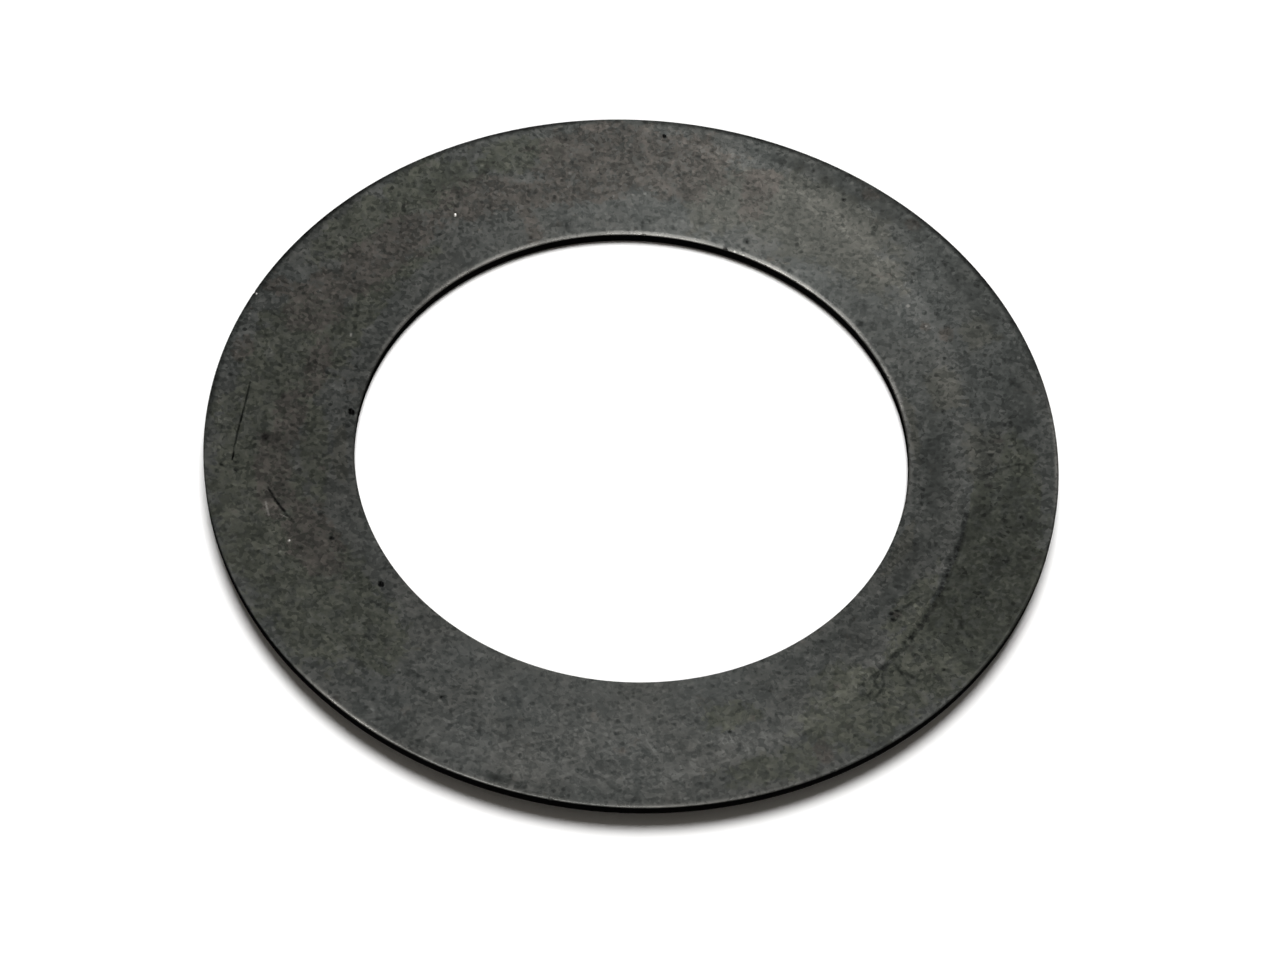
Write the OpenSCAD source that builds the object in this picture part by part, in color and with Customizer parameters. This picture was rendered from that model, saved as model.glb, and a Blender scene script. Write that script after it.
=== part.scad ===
// Conical spring washer: one ring of spring steel sheet, pressed into a shallow cone.
// It lies dished side up, on the lower edge of its bore, with the outer edge raised.
// Origin on the axis, in the plane that the washer rests on. +Z is the washer's axis.

/* [Ring] */
// Outside diameter, over the rim wall
outside_d = 46.5; // [38:0.5:60]
// Inside diameter, between the bore walls
inside_d = 30.3; // [16:0.1:37]
// Thickness of the sheet, measured square to its faces
sheet_t = 0.6; // [0.4:0.05:0.9]
// Overall height of the unloaded cone, from the resting plane to the top of the rim
free_h = 1.5; // [1.2:0.1:3]

/* [Edges] */
// Radius that barrel finishing leaves along all four edges
edge_r = 0.1; // [0.05:0.01:0.15]

/* [Hidden] */
$fn = 180;

// The section's corners are arcs of edge_r. The faces touch the arcs, sheet_t apart, and
// the bore and rim walls run straight along the axis between them.
arc_in = inside_d / 2 + edge_r;
arc_out = outside_d / 2 - edge_r;
arc_low = edge_r;
arc_high = free_h - edge_r;
span = arc_out - arc_in;
rise = arc_high - arc_low;

// Slope of the faces: the diagonal between the lowest and the highest arc centre, seen
// square to the faces, is as long as the sheet is thick between those two centres.
cone_angle = atan2(rise, span) - asin((sheet_t - 2 * edge_r) / norm([span, rise]));
face_rise = span * tan(cone_angle);

// Arc centres, anticlockwise from the edge that the washer rests on.
corners = [
    [arc_in, arc_low],
    [arc_out, arc_low + face_rise],
    [arc_out, arc_high],
    [arc_in, arc_high - face_rise]
];

// Outward directions of the four sides, each one just before the corner of the same index.
sides = [180, cone_angle - 90, 0, cone_angle + 90];

// The sides run this much inside the arcs' tangents, so that they cross the arcs cleanly
// and leave no sliver where they meet.
overlap = 0.0002;

// Point where the side that faces the direction a ends, beside the arc of a corner.
function side_end(corner, a) = corner + (edge_r - overlap) * [cos(a), sin(a)];

// Half of the ring's cross-section, on the +X side of the axis.
module section() {
    polygon([
        for (i = [0:3])
            for (a = [sides[i], sides[(i + 1) % 4]])
                side_end(corners[i], a)
    ]);
    for (corner = corners)
        translate(corner)
            circle(r = edge_r);
}

// The washer, turned from its section.
module conical_spring_washer() {
    color([0.28, 0.28, 0.27])
        rotate_extrude()
            section();
}

conical_spring_washer();
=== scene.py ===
"""Looks of a conical spring washer of dark phosphated spring steel, lying on a white table.

The washer's section is read from the CAD model, rebuilt as a finer mesh with the pits, scratches
and nicks of a used part, and finished with one procedural material for its faces and edges and one
for its sheared walls. Some light and shade is painted into the colours: near-black painted shade on
the walls, a painted highlight on the bore's and the rim's worn lips, painted shade on the far rim's
lip, and a painted sheen on the near side. Lengths are millimetres until they reach Blender, angles
are degrees.
"""

import math
from types import SimpleNamespace

import bmesh
import bpy
import numpy as np
from mathutils import Matrix, Vector


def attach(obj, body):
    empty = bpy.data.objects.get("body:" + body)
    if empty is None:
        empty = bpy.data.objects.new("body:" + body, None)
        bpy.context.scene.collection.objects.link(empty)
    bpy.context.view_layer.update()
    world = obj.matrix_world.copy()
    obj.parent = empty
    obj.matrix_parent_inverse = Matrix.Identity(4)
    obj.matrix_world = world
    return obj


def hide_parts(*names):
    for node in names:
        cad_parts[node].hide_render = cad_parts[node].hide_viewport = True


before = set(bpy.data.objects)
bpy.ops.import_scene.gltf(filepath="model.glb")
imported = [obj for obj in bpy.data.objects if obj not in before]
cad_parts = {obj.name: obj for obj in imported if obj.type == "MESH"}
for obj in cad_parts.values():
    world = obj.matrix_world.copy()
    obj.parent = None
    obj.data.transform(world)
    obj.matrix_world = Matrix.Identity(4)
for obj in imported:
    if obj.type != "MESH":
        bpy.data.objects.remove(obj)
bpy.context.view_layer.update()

NODE = "conical_spring_washer"
MM = 0.001

# ---------------------------------------------------------------- mesh density
# Steps once round the ring, across its upper and its under side, round each edge and up each wall.
TURN_STEPS = 480
UPPER_STEPS = 36
UNDER_STEPS = 20
ARC_STEPS = 5
WALL_STEPS = 4
# The cells this near to a mark, in mm, are halved. Each further level halves the reach too.
REFINE_LEVELS = 3
REFINE_REACH = 0.25
# A cell belongs to a wall where this share of its normal, or more, lies sideways.
WALL_STEEPNESS = 0.75
# A point lies on the dished side where its normal points up by more than this.
UPWARD = 0.5

# ---------------------------------------------------------------- marks on the dished face
# The hollow of a mark takes up this share of the width that its dirt covers.
HOLLOW_SHARE = 0.75
# Round pits: angle, radius, width, depth, how dark they are.
PITS = [
    (206.2, 17.35, 0.48, 0.020, 1.1),
    (189.8, 22.28, 0.42, 0.008, 1.00),
    (190.8, 21.51, 0.50, 0.008, 0.75),
    (59.05, 21.47, 0.44, 0.008, 0.42),
    (243.06, 19.33, 0.46, 0.010, 0.90),
    (351.3, 21.41, 0.44, 0.010, 1.10),
    (321.8, 21.71, 0.40, 0.008, 0.80),
    (288.8, 19.03, 0.40, 0.006, 0.55),
    (325.45, 17.35, 0.50, 0.010, 0.60),
    (326.55, 17.53, 0.46, 0.010, 0.60),
    (324.72, 17.67, 0.48, 0.010, 0.95),
]
# Dark smudges: angle, radius, width, how dark they are.
SMUDGES = [
    (184.46, 19.92, 0.75, 0.8),
    (38.5, 15.75, 0.8, 0.5),
    (73.7, 15.8, 0.5, 0.5),
    (69.6, 16.2, 0.7, 0.6),
    (107.0, 16.2, 1.1, 0.35),
    (72.9, 15.32, 0.55, 0.45),
    (39.9, 22.1, 0.6, 0.4),
    (38.4, 21.0, 0.6, 0.4),
    (37.8, 21.6, 0.4, 0.35),
    (327.0, 17.85, 0.5, 0.4),
    (330.4, 18.0, 0.6, 0.4),
    (255.8, 22.75, 0.6, 0.32),
    (259.0, 22.7, 0.9, 0.45),
    (261.6, 22.6, 0.7, 0.35),
    (264.5, 22.5, 0.6, 0.4),
    (350.4, 18.55, 0.8, 0.48),
    (345.6, 18.55, 0.8, 0.4),
    (343.4, 18.55, 0.9, 0.45),
    (340.4, 18.5, 0.9, 0.5),
    (336.6, 18.55, 0.9, 0.45),
    (332.4, 18.8, 0.8, 0.4),
    (311.4, 19.4, 0.8, 0.35),
    (310.2, 19.9, 0.8, 0.32),
    (237.6, 19.0, 0.5, 0.4),
    (240.2, 19.6, 0.5, 0.4),
    (247.5, 18.7, 0.45, 0.4),
    (285.0, 19.6, 0.45, 0.4),
    (294.6, 18.4, 0.4, 0.4),
]
# Bright chips, where the coating is gone: angle, radius, width, depth, how bright they are.
CHIPS = [
    (204.8, 19.6, 0.40, 0.02, 0.44),
    (159.6, 23.05, 0.30, 0.02, 0.45),
    (36.6, 18.6, 0.9, 0.0, 0.28),
    (31.2, 18.65, 0.4, 0.01, 0.27),
    (71.0, 15.26, 0.32, 0.0, 0.42),
    (69.0, 15.25, 0.30, 0.0, 0.36),
]
# Long pits and grooves: width, depth, how dark they are, then the angle and radius of each point.
# Those below 0 are bright chips and streaks.
GROOVES = [
    (0.52, 0.060, 2.0, [(176.35, 15.54), (176.75, 15.53)]),
    (0.47, 0.060, 1.8, [(218.98, 16.29), (219.22, 16.35)]),
    (0.32, 0.025, 1.3, [(88.8, 22.20), (88.75, 22.12)]),
    (0.27, 0.015, -0.7, [(126.26, 18.85), (126.10, 18.93)]),
    (0.40, 0.0, -0.31, [(159.38, 17.22), (158.94, 17.26)]),
    (0.17, 0.012, 0.6, [(174.6, 21.25), (179.0, 21.25), (184.0, 21.45), (189.0, 21.7)]),
    (0.30, 0.007, 0.58, [(194.3, 19.9), (196.3, 19.7), (198.3, 19.45), (200.1, 19.15)]),
    (0.24, 0.004, 0.4, [(200.1, 19.15), (201.6, 19.0)]),
    (0.44, 0.0, -0.28, [(196.9, 20.2), (199.4, 20.2)]),
    (0.30, 0.0, -0.26, [(199.5, 19.6), (200.5, 19.25)]),
    (0.30, 0.004, 0.3, [(313.8, 19.36), (313.2, 19.7), (312.8, 20.1)]),
    (0.30, 0.004, 0.3, [(315.4, 19.33), (314.8, 19.7), (314.0, 20.12)]),
    (0.42, 0.003, 0.4, [(317.8, 19.6), (317.4, 20.1), (316.6, 21.1)]),
    (0.40, 0.003, 0.42, [(317.7, 20.6), (318.0, 21.2)]),
    (0.30, 0.004, 0.4, [(310.6, 20.2), (313.1, 19.85)]),
    (0.30, 0.004, 0.4, [(311.6, 20.5), (313.8, 20.2)]),
    (0.36, 0.003, 0.27, [(332.2, 19.0), (331.1, 20.1), (328.6, 21.5)]),
    (0.30, 0.004, 0.45, [(327.8, 17.7), (331.8, 18.1)]),
    (0.42, 0.006, 0.40, [(327.3, 19.1), (321.3, 19.3), (317.7, 19.35), (315.6, 19.4)]),
    (0.40, 0.005, 0.35, [(358.7, 19.3), (0.2, 20.2), (1.0, 21.2)]),
]
# Nicks in the rim's and the bore's upper edge: angle, width, depth.
RIM_NICKS = [
    (159.4, 0.46, 0.05),
    (263.2, 0.40, 0.04),
    (300.0, 0.34, 0.03),
    (320.9, 0.40, 0.03),
    (35.0, 0.34, 0.03),
]
BORE_NICKS = [
    (91.0, 0.34, 0.04),
    (73.1, 0.50, 0.05),
    (24.0, 0.34, 0.03),
]
# Where a nick sits on its rounded edge, as a share of the edge's radius.
NICK_SEAT = 0.7

# Another washer, nearly as large, was stacked on this one, off centre. Its rim rubbed a bright
# band into the coating, RUB_REACH to either side of RUB_RADIUS, and scored a ragged line along the
# outside of part of it. The band fades out leftwards, between RUB_FULL_X and RUB_GONE_X.
RUB_CENTRE = (-4.2, 0.3)
RUB_RADIUS = 22.3
RUB_REACH = 1.2
RUB_FULL_X = 4.8
RUB_GONE_X = -7.2
SCORE_RADIUS = 22.75
SCORE_ARC = (-8.5, -39.5)
SCORE_POINTS = 17
SCORE_WIDTH = 0.62
SCORE_DEPTH = 0.012
SCORE_DARKNESS = 0.42

# Outside the score line the coating is stained: duller and more olive. The stain rises over
# STAIN_EDGE, and each colour has a growth and a limit. A strip at the rim is cleaner.
STAIN_EDGE = 0.3
STAIN_ANGLE = -20
STAIN_REACH = 27
STAIN_DULL = (1.2, 0.8)
STAIN_OLIVE = (2.0, 1.2)
CLEAN_RADIUS = 22.3
CLEAN_ARC = (-14, 2)
CLEAN_SHARE = 0.3

# ---------------------------------------------------------------- zones of the dished face
# A patch fades to nothing at this many times its stated size.
PATCH_SPREAD = 1.4
# How far the bore's worn lip with its painted highlight, the rim's painted shade, and the rim's worn
# lip with its painted highlight reach from the rounded edge.
POLISH_AND_HIGHLIGHT_REACH = 0.22
PAINTED_SHADE_REACH = 0.24
RIM_WEAR_AND_HIGHLIGHT_REACH = 0.10
# Soft-edged patches: angle, radius, length along the ring, width across it, strength.
# Olive, brown and khaki are stains. Dull is darker and rougher, scuffed has hair scratches, and
# shaded is a little darker. The pale zone is the other washer's rub, and on the near side a painted
# sheen. The grain is weaker where it is calm, and stronger where it is lively. The bore's lip is worn
# to steel on the far half only, partly wear and partly a painted highlight. The rim's lip has painted
# shade along the far side, and worn steel, partly a painted highlight, mostly at the near left.
ZONES = {
    "olive": [
        (112, 21.4, 8, 3.2, 0.8),
        (127, 21.2, 9, 4.2, 1.0),
        (140, 21.4, 9, 3.6, 1.0),
        (140, 17.6, 10, 1.6, 0.7),
        (156, 17.6, 12, 2.6, 1.0),
        (170, 19.8, 14, 5.6, 1.1),
        (186, 20.6, 10, 5.6, 1.1),
        (186, 17.4, 9, 2.0, 0.9),
        (202, 20.4, 14, 6.4, 1.2),
        (217, 19.6, 11, 7.4, 1.2),
        (228, 19.0, 5, 5.0, 0.9),
        (356, 20.9, 8, 3.2, 1.3),
        (340, 21.2, 14, 4.4, 1.2),
        (325, 20.6, 10, 5.4, 1.1),
        (329, 18.0, 7, 2.0, 0.9),
        (309, 20.6, 9, 5.6, 1.0),
        (309, 18.4, 4, 2.4, 0.8),
        (293, 21.8, 7, 2.4, 0.9),
        (290, 18.0, 4, 2.6, 0.7),
        (3, 19.4, 3, 2.4, 0.6),
    ],
    "brown": [
        (87, 20.2, 8, 5.2, 1.1),
        (98, 20.4, 9, 5.0, 1.2),
        (104, 18.6, 10, 2.8, 1.0),
        (95, 22.3, 5, 1.8, 0.7),
        (114, 16.6, 1.2, 3.6, 0.8),
        (121, 19.4, 6, 3.2, 0.9),
        (141, 19.2, 10, 3.2, 1.1),
        (156, 19.8, 6, 3.4, 1.0),
        (157, 22.2, 1.6, 2.2, 0.8),
        (169, 22.3, 2.2, 1.6, 0.7),
        (168, 18.0, 5, 1.6, 0.8),
        (181, 18.8, 5, 1.9, 0.9),
        (192, 19.6, 7, 2.2, 1.0),
        (206, 18.4, 6, 2.8, 1.1),
        (72, 19.6, 2.2, 4.6, 1.0),
        (300, 21.9, 1.2, 1.8, 0.8),
        (56.3, 22.6, 1.0, 0.8, 1.4),
        (48.1, 22.5, 1.0, 0.8, 1.4),
        (28.1, 19.4, 0.9, 0.9, 1.3),
        (31.3, 18.6, 0.6, 0.6, 1.2),
        (326.0, 17.65, 0.5, 0.5, 1.6),
        (184.5, 19.9, 0.6, 0.6, 1.6),
    ],
    "khaki": [
        (62, 19.2, 14, 6.5, 1.1),
        (78, 18.6, 5, 6.5, 0.9),
        (47, 18.6, 6, 4.0, 0.9),
        (26, 21.0, 3, 2.4, 0.9),
        (18, 17.8, 4, 2.4, 0.9),
        (3, 19.2, 5, 3.0, 0.8),
        (340, 15.8, 5, 1.0, 0.9),
        (10, 15.6, 6, 0.8, 0.8),
        (187, 15.9, 6, 0.9, 0.9),
    ],
    "dull": [
        (355.5, 21.1, 2.6, 1.7, 1.3),
        (58, 22.4, 16, 1.9, 0.9),
        (36, 22.1, 13, 2.0, 0.8),
        (12, 21.6, 12, 2.6, 0.6),
        (0, 16.6, 12, 1.5, 0.9),
        (346, 17.4, 10, 2.4, 0.4),
        (334, 16.6, 9, 1.4, 0.8),
        (310, 16.2, 9, 1.2, 0.5),
        (148, 16.8, 8, 1.6, 0.5),
        (122, 21.4, 8, 2.4, 0.5),
        (224, 17.6, 9, 1.8, 0.4),
        (256, 22.7, 2, 0.7, 0.9),
        (70, 22.2, 5, 0.9, 1.1),
        (10, 19.4, 18, 3.4, 0.32),
        (44, 16.4, 8, 1.4, 0.4),
        (98, 21.0, 12, 3.0, 0.35),
    ],
    # Paler: the other washer's rub marks, and on the near side (258 to 291 degrees) a painted sheen.
    "rub_and_sheen": [
        (272, 18.8, 12, 4.0, 0.5),
        (258, 21.4, 13, 2.6, 0.9),
        (195, 21.6, 9, 1.8, 0.4),
        (198.2, 20.2, 0.8, 1.4, 1.3),
        (181.8, 22.4, 1.2, 1.2, 1.0),
        (185.5, 22.5, 1.2, 1.2, 1.0),
        (291, 19.5, 9, 2.6, 0.7),
        (244, 15.88, 0.5, 0.4, 1.5),
        (30, 18.6, 10, 2.2, 0.5),
        (325, 18.2, 7, 1.2, 0.4),
    ],
    "scuffed": [
        (270, 19.5, 30, 7.0, 1.0),
        (42, 19.5, 12, 4.0, 0.5),
        (318, 18.5, 10, 3.0, 0.6),
    ],
    "shaded": [
        (8, 19.4, 24, 10.0, 1.0),
        (120, 21.6, 16, 3.6, 1.0),
        (98, 20.6, 14, 4.4, 0.5),
        (224, 19.0, 12, 7.0, 0.7),
        (348, 18.6, 12, 5.0, 0.7),
        (45, 16.2, 14, 2.4, 0.8),
        (300, 17.0, 26, 3.6, 0.5),
        (66, 21.8, 16, 2.4, 0.5),
    ],
    "calm": [
        (38, 19.0, 22, 9.0, 0.9),
        (345, 17.2, 16, 2.4, 0.6),
        (90, 16.8, 22, 2.4, 0.7),
        (285, 16.4, 22, 1.8, 0.7),
        (12, 22.2, 14, 2.0, 0.8),
        (195, 22.4, 16, 1.6, 0.7),
    ],
    "lively": [
        (226, 19.4, 10, 7.0, 0.7),
        (338, 20.8, 16, 4.4, 0.6),
    ],
    # Worn steel on the bore's lip, on the far half only: partly wear, partly a painted highlight.
    "polish_and_highlight": [
        (55, 15.3, 22, 2.0, 0.85),
        (90, 15.3, 22, 2.0, 0.75),
        (125, 15.3, 22, 2.0, 0.9),
        (150, 15.3, 10, 2.0, 0.7),
        (20, 15.3, 10, 2.0, 0.7),
        (2, 15.3, 8, 2.0, 0.3),
    ],
    # Painted shade: darkens the rim's lip along the far side.
    "painted_rim_shade": [
        (40, 23.2, 26, 2.0, 1.0),
        (75, 23.2, 20, 2.0, 1.0),
        (110, 23.2, 16, 2.0, 1.0),
        (145, 23.2, 26, 2.0, 1.0),
        (176, 23.2, 8, 2.0, 0.8),
    ],
    # Worn steel on the rim's lip, mostly at the near left: partly wear, partly a painted highlight.
    "rim_wear_and_highlight": [
        (235, 23.2, 8, 2.0, 0.8),
        (250, 23.2, 12, 2.0, 0.35),
        (280, 23.2, 22, 2.0, 0.3),
        (325, 23.2, 30, 2.0, 0.14),
        (2, 23.2, 10, 2.0, 0.4),
    ],
}


# ---------------------------------------------------------------- the washer's section
def radius_and_height(points):
    """Radius and height of each point, as pairs."""
    return np.stack([np.hypot(points[:, 0], points[:, 1]), points[:, 2]], -1)


def polar(points):
    """Angle in degrees and radius of each point, as two arrays."""
    return np.degrees(np.arctan2(points[:, 1], points[:, 0])), np.hypot(points[:, 0], points[:, 1])


def read_section():
    """Arc centres and edge radius of the CAD section, and its cone angle in radians."""
    points = np.array([v.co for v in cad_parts[NODE].data.vertices]) / MM
    radius, height = radius_and_height(points).T
    close = 0.001
    bore_wall = height[radius < radius.min() + close]
    rim_wall = height[radius > radius.max() - close]
    edge = bore_wall.min() - height.min()
    near = radius.min() + edge
    far = radius.max() - edge
    centres = np.array([
        (near, bore_wall.min()),
        (far, rim_wall.min()),
        (far, rim_wall.max()),
        (near, bore_wall.max()),
    ])
    cone = math.atan2(rim_wall.min() - bore_wall.min(), far - near)
    return centres, edge, cone


CENTRES, EDGE, CONE = read_section()


def outline():
    """Closed outline of the section, anticlockwise, as points of radius and height."""
    half_turn = math.pi
    facing = [half_turn, 1.5 * half_turn + CONE, 2 * half_turn, 2.5 * half_turn + CONE, 3 * half_turn]
    side_steps = [UNDER_STEPS, WALL_STEPS, UPPER_STEPS, WALL_STEPS]
    points = []
    for i in range(4):
        for a in np.linspace(facing[i], facing[i + 1], ARC_STEPS + 1):
            points.append(CENTRES[i] + EDGE * np.array((math.cos(a), math.sin(a))))
        start = points[-1]
        end = start + CENTRES[(i + 1) % 4] - CENTRES[i]
        for turn in np.linspace(0, math.pi, side_steps[i] + 1)[1:-1]:
            points.append(start + (end - start) * (1 - math.cos(turn)) / 2)
    return np.array(points)


def on_section(points):
    """Nearest points on the four lines between the arc centres, and the outward normals there."""
    flat = radius_and_height(points)
    best = np.full(len(flat), np.inf)
    seat = np.zeros_like(flat)
    for i in range(4):
        start, end = CENTRES[i], CENTRES[(i + 1) % 4]
        along = end - start
        share = np.clip((flat - start) @ along / (along @ along), 0, 1)
        foot = start + share[:, None] * along
        gap = np.hypot(*(flat - foot).T)
        nearer = gap < best
        best[nearer] = gap[nearer]
        seat[nearer] = foot[nearer]
    normal = (flat - seat) / best[:, None]
    turn = points[:, :2] / flat[:, :1]

    def spread(pair):
        return np.column_stack([turn * pair[:, :1], pair[:, 1]])

    return spread(seat), spread(normal)


def on_face(angle, radius):
    """Point on the dished face."""
    a = math.radians(angle)
    height = CENTRES[3][1] + (radius - CENTRES[3][0]) * math.tan(CONE) + EDGE / math.cos(CONE)
    return np.array((radius * math.cos(a), radius * math.sin(a), height))


# ---------------------------------------------------------------- marks
def soft(share):
    """1 where share is 0, falling smoothly to 0 where it is 1."""
    share = np.clip(1 - share, 0, 1)
    return share * share * (3 - 2 * share)


def path_distance(points, path):
    """Distance of each point from a chain of straight pieces."""
    best = np.full(len(points), np.inf)
    for start, end in zip(path[:-1], path[1:]):
        along = end - start
        share = np.clip((points - start) @ along / (along @ along), 0, 1)
        best = np.minimum(best, np.linalg.norm(points - start - share[:, None] * along, axis=1))
    return best


def score_line():
    """Points of angle and radius along the line that the other washer's rim scored."""
    route = []
    for a in np.radians(np.linspace(*SCORE_ARC, SCORE_POINTS)):
        x = RUB_CENTRE[0] + SCORE_RADIUS * math.cos(a)
        y = RUB_CENTRE[1] + SCORE_RADIUS * math.sin(a)
        route.append((math.degrees(math.atan2(y, x)), math.hypot(x, y)))
    return route


def spot_mark(width, depth, dark, spot):
    """A mark round one spot."""
    return width, depth, dark, lambda points: np.linalg.norm(points - spot, axis=1)


def path_mark(width, depth, dark, path):
    """A mark along a path."""
    return width, depth, dark, lambda points: path_distance(points, path)


def marks():
    """Every mark as its width, its depth, how dark it is and a function for the distance from it.
    A mark that is bright has a darkness below 0."""
    made = []
    for angle, radius, width, depth, dark in PITS:
        made.append(spot_mark(width, depth, dark, on_face(angle, radius)))
    for angle, radius, width, depth, light in CHIPS:
        made.append(spot_mark(width, depth, -light, on_face(angle, radius)))
    for angle, radius, width, dark in SMUDGES:
        made.append(spot_mark(width, 0.0, dark, on_face(angle, radius)))
    score = (SCORE_WIDTH, SCORE_DEPTH, SCORE_DARKNESS, score_line())
    for width, depth, dark, route in GROOVES + [score]:
        made.append(path_mark(width, depth, dark, [on_face(*point) for point in route]))
    rim_edge = CENTRES[2][0] + EDGE * NICK_SEAT
    bore_edge = CENTRES[3][0] - EDGE * NICK_SEAT
    for nicks, edge_radius in ((RIM_NICKS, rim_edge), (BORE_NICKS, bore_edge)):
        for angle, width, depth in nicks:
            made.append(spot_mark(width, depth, 0.0, on_face(angle, edge_radius)))
    return made


MARKS = marks()


# ---------------------------------------------------------------- mesh
def ring_mesh():
    """The section turned once round the axis, in mm."""
    section = outline()
    count = len(section)
    turn = np.arange(TURN_STEPS) * 2 * math.pi / TURN_STEPS
    points = np.stack([
        np.outer(np.cos(turn), section[:, 0]),
        np.outer(np.sin(turn), section[:, 0]),
        np.tile(section[:, 1], (TURN_STEPS, 1)),
    ], -1).reshape(-1, 3)
    here = np.arange(TURN_STEPS * count).reshape(TURN_STEPS, count)
    beside = np.roll(here, -1, axis=0)
    quads = np.stack([here, beside, np.roll(beside, -1, axis=1), np.roll(here, -1, axis=1)], -1)
    mesh = bpy.data.meshes.new(NODE + "_detailed")
    mesh.from_pydata(points.tolist(), [], quads.reshape(-1, 4).tolist())
    return mesh


def refine(mesh):
    """Halves the cells round every mark, a few times over."""
    bm = bmesh.new()
    bm.from_mesh(mesh)
    for level in range(REFINE_LEVELS):
        middles = np.array([(e.verts[0].co + e.verts[1].co) / 2 for e in bm.edges])
        reach = REFINE_REACH / 2 ** level
        near = np.zeros(len(middles), bool)
        for width, _, _, distance in MARKS:
            near |= distance(middles) < width / 2 + reach
        chosen = [e for e, hit in zip(bm.edges, near) if hit]
        bmesh.ops.subdivide_edges(bm, edges=chosen, cuts=1, use_grid_fill=True)
    bm.to_mesh(mesh)
    bm.free()


def zone(points, patches):
    """How much each point lies in the patches."""
    angle, radius = polar(points)
    most = np.zeros(len(points))
    for at_angle, at_radius, length, width, strength in patches:
        along = np.radians((angle - at_angle + 180) % 360 - 180) * at_radius / (length / 2)
        across = (radius - at_radius) / (width / 2)
        most = np.maximum(most, strength * soft(np.hypot(along, across) / PATCH_SPREAD))
    return most


def lip(points, centre, reach):
    """How close each point is to the rounded edge around an arc centre: 1 on it, 0 beyond reach."""
    return soft((np.hypot(*(radius_and_height(points) - centre).T) - EDGE) / reach)


def from_rub_centre(points):
    """Distance of each point from the other washer's axis."""
    return np.hypot(points[:, 0] - RUB_CENTRE[0], points[:, 1] - RUB_CENTRE[1])


def rubbed_band(points):
    """How much each point lies in the pale band that the other washer's rim wore into the coating."""
    fade = np.clip((points[:, 0] - RUB_GONE_X) / (RUB_FULL_X - RUB_GONE_X), 0, 1)
    return soft(np.abs(from_rub_centre(points) - RUB_RADIUS) / RUB_REACH) * fade


def stain(points):
    """How much each point lies in the stain outside the score line."""
    angle, _ = polar(points)
    outside = np.clip((from_rub_centre(points) - SCORE_RADIUS) / STAIN_EDGE, 0, 1)
    return outside * soft(np.abs(angle - STAIN_ANGLE) / STAIN_REACH)


def clean_strip(points):
    """Whether each point lies in the cleaner strip at the rim."""
    angle, radius = polar(points)
    return (radius > CLEAN_RADIUS) & (angle > CLEAN_ARC[0]) & (angle < CLEAN_ARC[1])


def shape(mesh):
    """Puts every point on the true section, presses the marks in, and stores what the materials use."""
    points = np.array([v.co for v in mesh.vertices])
    seat, normal = on_section(points)
    surface = seat + EDGE * normal
    press = np.zeros(len(points))
    dark = np.zeros(len(points))
    bright = np.zeros(len(points))
    for width, depth, darkness, distance in MARKS:
        away = distance(surface)
        form = soft(away / (width / 2))
        press = np.maximum(press, soft(away / (HOLLOW_SHARE * width / 2)) * depth)
        dark = np.maximum(dark, form * darkness)
        bright = np.maximum(bright, -form * darkness)
    upper = normal[:, 2] > UPWARD
    stored = {"mark": dark, "chip": bright}
    for name, patches in ZONES.items():
        stored[name] = zone(surface, patches) * upper
    stored["rub_and_sheen"] = np.maximum(stored["rub_and_sheen"], rubbed_band(surface) * upper)
    stained = stain(surface) * upper
    strip = clean_strip(surface)
    for name, (growth, limit) in (("dull", STAIN_DULL), ("olive", STAIN_OLIVE)):
        stored[name] = np.maximum(stored[name], np.minimum(growth * stained, limit))
        stored[name][strip] *= CLEAN_SHARE
    # The lips' worn steel with its painted highlight, and the far rim lip's painted shade, fade out from
    # the rounded edges.
    stored["polish_and_highlight"] *= lip(surface, CENTRES[3], POLISH_AND_HIGHLIGHT_REACH)
    stored["painted_rim_shade"] *= lip(surface, CENTRES[2], PAINTED_SHADE_REACH)
    stored["rim_wear_and_highlight"] *= lip(surface, CENTRES[2], RIM_WEAR_AND_HIGHLIGHT_REACH)
    surface -= normal * press[:, None]
    mesh.vertices.foreach_set("co", (surface * MM).ravel())
    for name, values in stored.items():
        mesh.attributes.new(name, "FLOAT", "POINT").data.foreach_set("value", values)


def washer(face_material, wall_material):
    """The washer as one fine mesh on the CAD section, with its marks."""
    mesh = ring_mesh()
    refine(mesh)
    shape(mesh)
    mesh.materials.append(face_material)
    mesh.materials.append(wall_material)
    mesh.polygons.foreach_set("use_smooth", np.ones(len(mesh.polygons), bool))
    mesh.update()
    for polygon in mesh.polygons:
        sideways = math.hypot(polygon.normal.x, polygon.normal.y)
        polygon.material_index = int(sideways > WALL_STEEPNESS)
    mesh.validate()
    piece = bpy.data.objects.new(NODE + "_detailed", mesh)
    bpy.context.scene.collection.objects.link(piece)
    return piece


# ---------------------------------------------------------------- materials
# Heights of the relief of the steel and of the floor, in metres, and the shares of the steel's that
# its grain and its fine noise have.
CRYSTAL_HEIGHT = 0.000004
FLOOR_GRAIN = 0.00001
GRAIN_RELIEF = 0.3
FINE_RELIEF = 0.4
# Colours, in linear light. COLDER and WARMER tint the dark and the light grains. The clean coating,
# the walls and the floor each vary between two colours.
COOL_GREYS = ((0.0342, 0.0364, 0.0345, 1), (0.0353, 0.0366, 0.0340, 1))
OLIVE = (0.0336, 0.0358, 0.0291, 1)
KHAKI = (0.0356, 0.0366, 0.0323, 1)
BROWN = (0.0333, 0.0314, 0.0280, 1)
COLDER = (0.976, 1, 1, 1)
WARMER = (1.034, 1, 1, 1)
# The lips' worn steel, pale enough to be partly a painted highlight.
WORN_STEEL_AND_HIGHLIGHT = (0.16, 0.155, 0.145, 1)
CHIPPED_STEEL = (0.3, 0.29, 0.27, 1)
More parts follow.
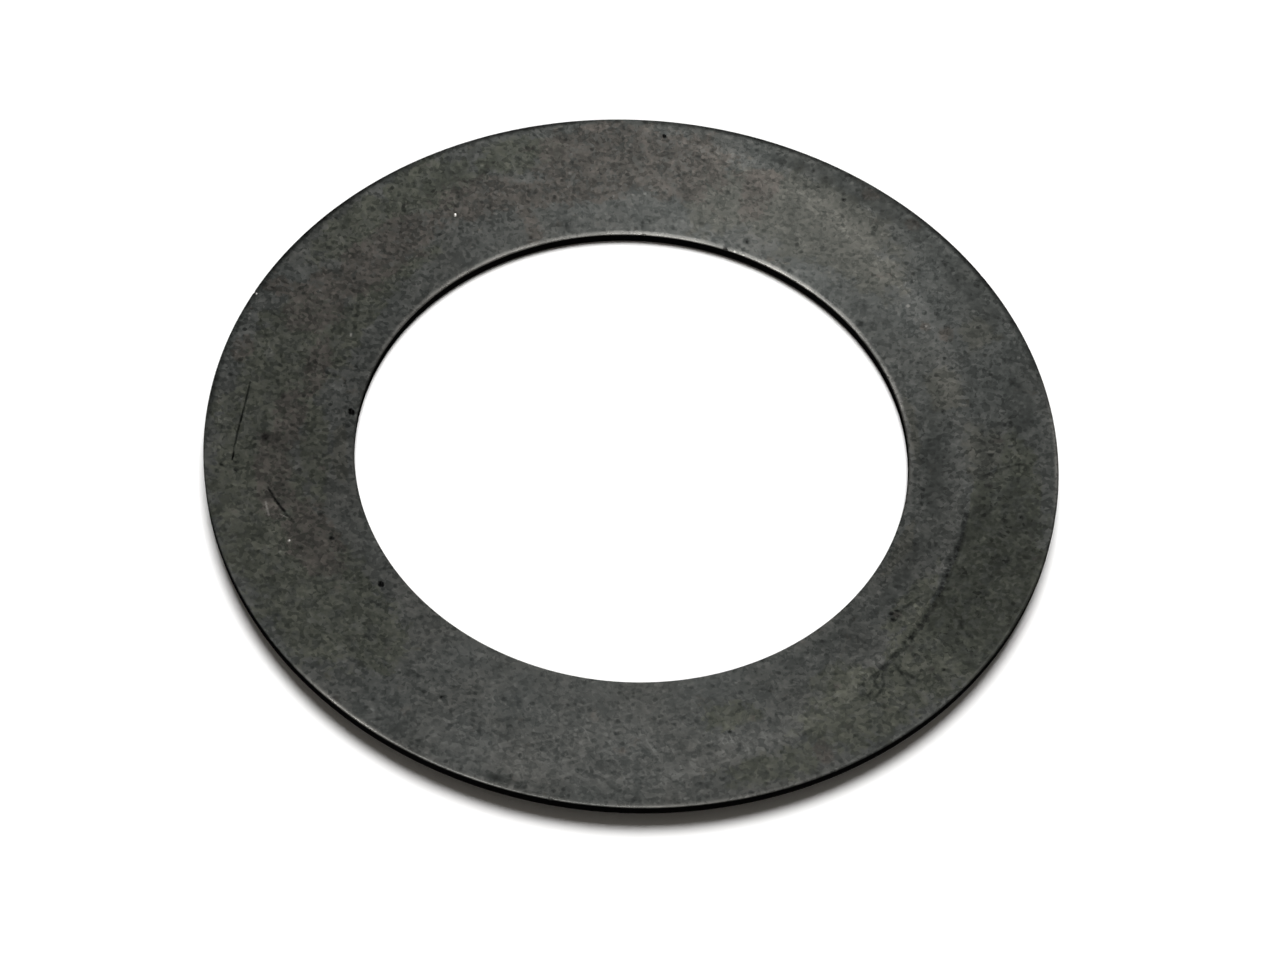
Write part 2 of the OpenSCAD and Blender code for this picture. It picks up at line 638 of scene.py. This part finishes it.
# Near-black painted shade on the walls, darker than sheared steel under any lamp.
PAINTED_SHADE_WALL_GREYS = ((0.0012, 0.0012, 0.0012, 1), (0.0030, 0.0030, 0.0030, 1))
FLOOR_WHITES = ((0.86, 0.86, 0.86, 1), (0.9, 0.9, 0.9, 1))
# How much each thing multiplies the lightness of the coating where it is strongest.
SPOT_TONE = 0.55
GLINT_TONE = 1.35
DULL_TONE = 0.66
# The pale zone: rub marks, and a painted sheen on the near side.
RUB_AND_SHEEN_TONE = 1.3
SHADED_TONE = 0.86
SCUFF_TONE = 1.5
STROKE_TONE = 0.78
DIRT_TONE = 0.03
# Painted shade on the far rim's lip.
PAINTED_RIM_SHADE_TONE = 0.15
# Scales of the coating's patterns, in counts per mm.
CELL_SCALE = 2.4
GRAIN_SCALE = 4.6
DOT_SCALE = 2.7
FINE_SCALE = 4.6
MID_SCALE = 0.9
BROAD_SCALE = 0.25
RAGGED_SCALE = 0.8
FRAYED_SCALE = 2.4
DIRT_SCALE = 2.6
LIP_PATCH_SCALE = 0.8
# Scales of the walls' grain, in counts per mm, and of the floor's, in counts per metre.
WALL_SCALE = 4.0
FLOOR_SCALE = 300.0
# Noises that move the patterns about: their count per mm, and how far they move them in mm.
LOOSE_WARP = (2.2, 0.45)
GRAIN_WARP = (3.0, 0.12)
DOT_WARP = (3.0, 0.2)
# How far each noise and cell pattern swings the lightness either way, and how strong that grain is
# in the calm and in the lively zones.
CELL_SWING = 0.165
GRAIN_SWING = 0.28
FINE_SWING = 0.12
MID_SWING = 0.17
CALM_CONTRAST = 0.7
LIVELY_CONTRAST = 1.35
# Scuffs: angle, count per mm across them, how many times longer than wide they are.
BRIGHT_SCUFFS = [(25, 5.0, 14), (118, 5.0, 12)]
DARK_STROKES = (-50, 4.0, 4)
# How far the ragged and the frayed noise move the outline of a zone, and the two levels between
# which the zone then rises from none to full.
RAGGEDNESS = 1.5
FRAYING = 0.8
ZONE_RISE = {
    "olive": (0.3, 0.5),
    "khaki": (0.25, 0.5),
    "brown": (0.2, 0.4),
    "dull": (0.2, 0.75),
    "rub_and_sheen": (0.15, 0.85),
}
# Gloss. Dull places are rougher, and the coating is only half metallic.
COATING_ROUGHNESS = 0.28
COATING_SPECULAR = 0.05
COATING_METALLIC = 0.5
BARE_METALLIC = 0.95
DULL_ROUGHENING = 1.12
GRAIN_GLOSS_SWING = 0.1
MID_GLOSS_SWING = 0.06
WALL_ROUGHNESS = 0.8
FLOOR_ROUGHNESS = 0.9


class Graph:
    """Adds shader nodes to a material and links them."""

    def __init__(self, name):
        self.material = bpy.data.materials.new(name)
        self.material.use_nodes = True
        self.tree = self.material.node_tree
        self.tree.nodes.clear()

    def node(self, kind, *values, **settings):
        made = self.tree.nodes.new("ShaderNode" + kind)
        for name, value in settings.items():
            setattr(made, name, value)
        for socket, value in zip(made.inputs, values):
            self.feed(socket, value)
        return made

    def feed(self, socket, value):
        """Links another node's output to the socket, or sets a plain value on it."""
        if isinstance(value, bpy.types.NodeSocket):
            self.tree.links.new(value, socket)
        elif value is not None:
            socket.default_value = value

    def math(self, operation, *values):
        return self.node("Math", *values, operation=operation).outputs[0]

    def vector(self, operation, *values):
        return self.node("VectorMath", *values, operation=operation).outputs[0]

    def scaled(self, vector, factor):
        made = self.node("VectorMath", vector, operation="SCALE")
        self.feed(made.inputs["Scale"], factor)
        return made.outputs[0]

    def noise(self, vector, scale, detail=2.0, roughness=0.5, output="Fac"):
        """Noise as one value, or as three if the output is Color."""
        made = self.node("TexNoise", noise_dimensions="3D")
        self.feed(made.inputs["Vector"], vector)
        self.feed(made.inputs["Scale"], scale)
        self.feed(made.inputs["Detail"], detail)
        self.feed(made.inputs["Roughness"], roughness)
        return made.outputs[output]

    def cells(self, vector, scale):
        """A random tone and a random hue for each cell of a Voronoi pattern, and the distance from
        the cell's centre."""
        made = self.node("TexVoronoi", voronoi_dimensions="3D", feature="F1")
        self.feed(made.inputs["Vector"], vector)
        self.feed(made.inputs["Scale"], scale)
        parts = self.node("SeparateColor", made.outputs["Color"]).outputs
        return parts[0], parts[1], made.outputs["Distance"]

    def stored(self, name):
        """A value that shape() stored on the mesh."""
        return self.node("Attribute", attribute_name=name).outputs["Fac"]

    def mm(self):
        """The place on the object, in mm."""
        return self.scaled(self.node("TexCoord").outputs["Object"], 1 / MM)

    def warped(self, vector, scale, distance):
        """The vector, moved about by noise so that outlines drawn with it wander."""
        wander = self.noise(vector, scale, 1.0, output="Color")
        shift = self.vector("SUBTRACT", wander, (0.5, 0.5, 0.5))
        return self.vector("ADD", vector, self.scaled(shift, distance))

    def streaks(self, vector, angle, scale, stretch):
        """Fine parallel streaks, angle degrees from +X."""
        turned = self.node("VectorRotate", rotation_type="Z_AXIS")
        self.feed(turned.inputs["Vector"], vector)
        self.feed(turned.inputs["Angle"], math.radians(-angle))
        long = self.vector("MULTIPLY", turned.outputs[0], (1 / stretch, 1, 1))
        return self.noise(long, scale, 2.0, 0.6)

    def fit(self, value, low, high, to_low=0.0, to_high=1.0, smooth=False):
        """The value, moved from the range low to high into the range to_low to to_high."""
        kind = "SMOOTHSTEP" if smooth else "LINEAR"
        made = self.node("MapRange", clamp=True, interpolation_type=kind)
        for socket, given in zip(made.inputs, (value, low, high, to_low, to_high)):
            self.feed(socket, given)
        return made.outputs["Result"]

    def mix(self, share, first, second, blend="MIX"):
        made = self.tree.nodes.new("ShaderNodeMix")
        made.data_type = "RGBA"
        made.blend_type = blend
        self.feed(made.inputs["Factor"], share)
        self.feed(made.inputs[6], first)
        self.feed(made.inputs[7], second)
        return made.outputs[2]

    def finish(self, colour, roughness, metallic, specular, bump_height, bump_distance):
        """Adds the shader and the bump, and returns the material."""
        bump = self.node("Bump")
        self.feed(bump.inputs["Strength"], 1.0)
        self.feed(bump.inputs["Distance"], bump_distance)
        self.feed(bump.inputs["Height"], bump_height)
        shader = self.tree.nodes.new("ShaderNodeBsdfPrincipled")
        self.feed(shader.inputs["Base Color"], colour)
        self.feed(shader.inputs["Roughness"], roughness)
        self.feed(shader.inputs["Metallic"], metallic)
        self.feed(shader.inputs["Specular IOR Level"], specular)
        self.feed(shader.inputs["Normal"], bump.outputs[0])
        output = self.tree.nodes.new("ShaderNodeOutputMaterial")
        self.feed(output.inputs["Surface"], shader.outputs[0])
        return self.material


def swing(g, value, amount):
    """A factor around 1, from a value between 0 and 1."""
    return g.fit(value, 0, 1, 1 - amount, 1 + amount)


def toned(g, value, share, factor):
    """The value, times the factor where the share is 1."""
    return g.math("MULTIPLY", value, g.fit(share, 0, 1, 1.0, factor))


def patterns(g):
    """The cells and noises that the coating is made of."""
    place = g.mm()
    loose = g.warped(place, *LOOSE_WARP)
    cell, cell_hue, _ = g.cells(loose, CELL_SCALE)
    grain, grain_hue, _ = g.cells(g.warped(place, *GRAIN_WARP), GRAIN_SCALE)
    dot, _, dot_distance = g.cells(g.warped(place, *DOT_WARP), DOT_SCALE)
    return SimpleNamespace(
        place=place,
        cell=cell,
        cell_hue=cell_hue,
        grain=grain,
        grain_hue=grain_hue,
        dot=dot,
        dot_distance=dot_distance,
        fine=g.fit(g.noise(place, FINE_SCALE, 1.0, 0.5), 0.3, 0.7),
        mid=g.fit(g.noise(place, MID_SCALE, 3.0, 0.6), 0.3, 0.7),
        broad=g.fit(g.noise(place, BROAD_SCALE, 2.0, 0.5), 0.35, 0.65),
        ragged=g.noise(loose, RAGGED_SCALE, 4.0, 0.65),
        frayed=g.noise(loose, FRAYED_SCALE, 2.0, 0.6),
    )


def zoned(g, p, name):
    """A stored zone with a ragged outline."""
    level = g.math("MULTIPLY_ADD", g.math("SUBTRACT", p.ragged, 0.5), RAGGEDNESS, g.stored(name))
    level = g.math("MULTIPLY_ADD", g.math("SUBTRACT", p.frayed, 0.5), FRAYING, level)
    return g.fit(level, *ZONE_RISE[name], smooth=True)


def stained_colour(g, p):
    """Colour of the coating: olive, khaki and brown stains on cool grey."""
    olive = g.math("MULTIPLY", zoned(g, p, "olive"), g.fit(p.cell_hue, 0, 0.6, 0.5, 1.0))
    brown = g.math("MULTIPLY", zoned(g, p, "brown"), g.fit(p.grain_hue, 0, 0.5, 0.3, 1.0))
    colour = g.mix(p.broad, *COOL_GREYS)
    colour = g.mix(olive, colour, OLIVE)
    colour = g.mix(zoned(g, p, "khaki"), colour, KHAKI)
    return g.mix(brown, colour, BROWN)


def grain_tone(g, p):
    """How light the bare grain is, around 1: stronger where it is lively and weaker where it is calm."""
    tone = g.math("MULTIPLY", swing(g, p.cell, CELL_SWING), swing(g, p.grain, GRAIN_SWING))
    tone = g.math("MULTIPLY", tone, swing(g, p.fine, FINE_SWING))
    tone = g.math("MULTIPLY", tone, swing(g, p.mid, MID_SWING))
    calm = g.fit(g.stored("calm"), 0, 1, 1.0, CALM_CONTRAST)
    lively = g.fit(g.stored("lively"), 0, 1, 1.0, LIVELY_CONTRAST)
    contrast = g.math("MULTIPLY", calm, lively)
    tone = g.math("MULTIPLY_ADD", g.math("SUBTRACT", tone, 1.0), contrast, 1.0)
    spots = g.math("MULTIPLY", g.fit(p.dot_distance, 0.42, 0.28), g.fit(p.dot, 0.55, 0.85))
    glints = g.math("MULTIPLY", g.fit(p.dot_distance, 0.34, 0.22), g.fit(p.dot, 0.26, 0.1))
    tone = toned(g, tone, spots, SPOT_TONE)
    return toned(g, tone, glints, GLINT_TONE)


def dirt_in_marks(g, p):
    """How dirty the marks are: patchy in faint ones, full in deep ones."""
    patchy = g.fit(g.noise(p.place, DIRT_SCALE, 3.0, 0.6), 0.35, 0.65, 0.4, 1.6)
    dirt = g.math("MULTIPLY", g.stored("mark"), patchy)
    return g.math("MAXIMUM", dirt, g.fit(g.stored("mark"), 0.8, 1.1))


def scuffs(g, p):
    """Bright hair scratches in two directions, and short dark strokes in a third."""
    bright = g.math("MAXIMUM", *[g.streaks(p.place, *scuff) for scuff in BRIGHT_SCUFFS])
    bright = g.math("MULTIPLY", g.fit(bright, 0.56, 0.72), g.stored("scuffed"))
    dark = g.fit(g.streaks(p.place, *DARK_STROKES), 0.53, 0.66)
    return bright, g.math("MULTIPLY", dark, g.stored("scuffed"))


def phosphate():
    """Crystalline phosphate coating: blotchy grain, stained zones, and uncoated steel where it is worn.
    The worn lips are partly a painted highlight, the near side has a painted sheen, and the far rim's
    lip is darkened as painted shade.
    """
    g = Graph("phosphated_steel")
    p = patterns(g)
    dull = zoned(g, p, "dull")
    dirt = dirt_in_marks(g, p)
    bright_scuffs, dark_strokes = scuffs(g, p)

    # How light the coating is, and its colour.
    tone = grain_tone(g, p)
    tone = toned(g, tone, dull, DULL_TONE)
    # Paler in the rub marks, and on the near side as a painted sheen.
    tone = toned(g, tone, zoned(g, p, "rub_and_sheen"), RUB_AND_SHEEN_TONE)
    tone = toned(g, tone, g.stored("shaded"), SHADED_TONE)
    tone = toned(g, tone, bright_scuffs, SCUFF_TONE)
    tone = toned(g, tone, dark_strokes, STROKE_TONE)
    tone = g.math("MULTIPLY", tone, g.fit(dirt, 0, 0.7, 1, DIRT_TONE))
    # Painted shade: the rim's lip is much darker along the far side.
    tone = toned(g, tone, g.stored("painted_rim_shade"), PAINTED_RIM_SHADE_TONE)
    warmth = g.mix(g.fit(tone, 0.6, 1.4), COLDER, WARMER)
    colour = g.mix(1.0, stained_colour(g, p), warmth, blend="MULTIPLY")
    colour = g.mix(1.0, colour, tone, blend="MULTIPLY")

    # Uncoated steel on the bore's and the rim's lips, partly worn and partly a painted highlight,
    # except under dirt, and uncoated steel in chips.
    lip_patchiness = g.fit(g.noise(p.place, LIP_PATCH_SCALE, 2.0, 0.5), 0.35, 0.65, 0.55, 1.0)
    bare_and_highlit = g.math("MULTIPLY", g.math("POWER", g.stored("polish_and_highlight"), 1.5), lip_patchiness)
    # The rim's lip: worn steel, partly a painted highlight.
    bare_and_highlit = g.math("MAXIMUM", bare_and_highlit, g.math("MULTIPLY", g.stored("rim_wear_and_highlight"), lip_patchiness))
    bare_and_highlit = g.math("MULTIPLY", bare_and_highlit, g.fit(dirt, 0, 0.5, 1, 0))
    colour = g.mix(bare_and_highlit, colour, WORN_STEEL_AND_HIGHLIGHT)
    colour = g.mix(g.fit(g.stored("chip"), 0.2, 0.5), colour, CHIPPED_STEEL)

    # Gloss, and the relief of the crystals, which the worn and highlighted lips have lost.
    roughness = g.math("MULTIPLY", swing(g, p.grain, GRAIN_GLOSS_SWING), COATING_ROUGHNESS)
    roughness = g.math("MULTIPLY", roughness, swing(g, p.mid, MID_GLOSS_SWING))
    roughness = toned(g, roughness, dull, DULL_ROUGHENING)
    relief = g.math("MULTIPLY_ADD", p.grain, GRAIN_RELIEF, g.math("MULTIPLY", p.fine, FINE_RELIEF))
    relief = g.math("MULTIPLY", relief, g.fit(bare_and_highlit, 0, 0.3, 1, 0))
    metallic = g.fit(bare_and_highlit, 0, 1, COATING_METALLIC, BARE_METALLIC)
    return g.finish(colour, roughness, metallic, COATING_SPECULAR, relief, CRYSTAL_HEIGHT)


def sheared():
    """Rough steel of the walls that the punch sheared, painted near-black as shade."""
    g = Graph("sheared_steel_in_painted_shade")
    fine = g.noise(g.mm(), WALL_SCALE)
    colour = g.mix(fine, *PAINTED_SHADE_WALL_GREYS)
    return g.finish(colour, WALL_ROUGHNESS, 0.0, 0.0, fine, CRYSTAL_HEIGHT)


def white_floor():
    """Matt white with a faint grain."""
    g = Graph("white_floor")
    shade = g.noise(g.node("TexCoord").outputs["Object"], FLOOR_SCALE)
    colour = g.mix(shade, *FLOOR_WHITES)
    return g.finish(colour, FLOOR_ROUGHNESS, 0.0, 0.0, shade, FLOOR_GRAIN)


# ---------------------------------------------------------------- stage
TABLE_SIZE = 6000
# Lights far away: name, azimuth from +X anticlockwise, elevation, strength, apparent size. The key
# light gives the shadow. The others, and a ring of low ones, only show in the steel's gloss.
KEY_LIGHT = ("key", 90, 70, 4.05, 34)
GLOSS_LIGHTS = [
    ("sheen_high", 108, 70, 1.35, 16),
    ("sheen_low", 91, 40, 0.26, 10),
    ("overhead", 270, 78, 1.12, 30),
]
LOW_LIGHTS = [("low_%d" % azimuth, azimuth, 22, 0.16, 24) for azimuth in range(0, 360, 45)]
# The warm light of the room, and the white behind the floor.
ROOM_COLOUR = (1, 0.93, 0.83, 1)
ROOM_STRENGTH = 0.135
WHITE_COLOUR = (1, 1, 1, 1)
WHITE_STRENGTH = 1.1
# The camera's aim, distance, elevation and roll, then its lens and sensor.
CAMERA_AIM = (0.55, -2.28, 0.75)
CAMERA_DISTANCE = 179.3
CAMERA_ELEVATION = 54.0
CAMERA_ROLL = 4.3
FOCAL_LENGTH = 93
SENSOR_WIDTH = 36


def table():
    """The plain floor that the washer lies on."""
    half = TABLE_SIZE * MM / 2
    corners = [(-half, -half, 0), (half, -half, 0), (half, half, 0), (-half, half, 0)]
    mesh = bpy.data.meshes.new("table")
    mesh.from_pydata(corners, [], [(0, 1, 2, 3)])
    mesh.materials.append(white_floor())
    floor = bpy.data.objects.new("table", mesh)
    bpy.context.scene.collection.objects.link(floor)


def sun(name, azimuth, elevation, strength, width, diffuse=True, glossy=True):
    """A light far away, which shows in matt surfaces, in gloss, or in both."""
    light = bpy.data.lights.new(name, "SUN")
    light.energy = strength
    light.angle = math.radians(width)
    lamp = bpy.data.objects.new(name, light)
    lamp.visible_diffuse = diffuse
    lamp.visible_glossy = glossy
    a, e = math.radians(azimuth), math.radians(elevation)
    towards = Vector((math.cos(a) * math.cos(e), math.sin(a) * math.cos(e), math.sin(e)))
    lamp.rotation_mode = "QUATERNION"
    lamp.rotation_quaternion = towards.to_track_quat("Z", "Y")
    bpy.context.scene.collection.objects.link(lamp)


def surroundings():
    """A dim warm room all round, and plain white where the camera looks past the floor."""
    world = bpy.data.worlds.new("surroundings")
    world.use_nodes = True
    tree = world.node_tree
    tree.nodes.clear()
    ray = tree.nodes.new("ShaderNodeLightPath")
    dim = tree.nodes.new("ShaderNodeBackground")
    dim.inputs["Color"].default_value = ROOM_COLOUR
    dim.inputs["Strength"].default_value = ROOM_STRENGTH
    white = tree.nodes.new("ShaderNodeBackground")
    white.inputs["Color"].default_value = WHITE_COLOUR
    white.inputs["Strength"].default_value = WHITE_STRENGTH
    both = tree.nodes.new("ShaderNodeMixShader")
    output = tree.nodes.new("ShaderNodeOutputWorld")
    tree.links.new(ray.outputs["Is Camera Ray"], both.inputs[0])
    tree.links.new(dim.outputs[0], both.inputs[1])
    tree.links.new(white.outputs[0], both.inputs[2])
    tree.links.new(both.outputs[0], output.inputs[0])
    bpy.context.scene.world = world


def camera():
    """Looks down on the washer from in front, a little to the side of its axis and slightly rolled."""
    elevation, roll = math.radians(CAMERA_ELEVATION), math.radians(CAMERA_ROLL)
    back = Vector((0, -math.cos(elevation), math.sin(elevation)))
    lens = bpy.data.cameras.new("camera")
    lens.lens = FOCAL_LENGTH
    lens.sensor_width = SENSOR_WIDTH
    lens.clip_start = 0.01
    seat = bpy.data.objects.new("camera", lens)
    turn = back.to_track_quat("Z", "Y").to_matrix().to_4x4() @ Matrix.Rotation(roll, 4, "Z")
    place = (Vector(CAMERA_AIM) + back * CAMERA_DISTANCE) * MM
    seat.matrix_world = Matrix.Translation(place) @ turn
    bpy.context.scene.collection.objects.link(seat)
    bpy.context.scene.camera = seat


piece = washer(phosphate(), sheared())
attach(piece, "root")
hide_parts(NODE)
table()
sun(*KEY_LIGHT, glossy=False)
for light in GLOSS_LIGHTS + LOW_LIGHTS:
    sun(*light, diffuse=False)
surroundings()
camera()
bpy.context.scene.view_settings.view_transform = "Standard"
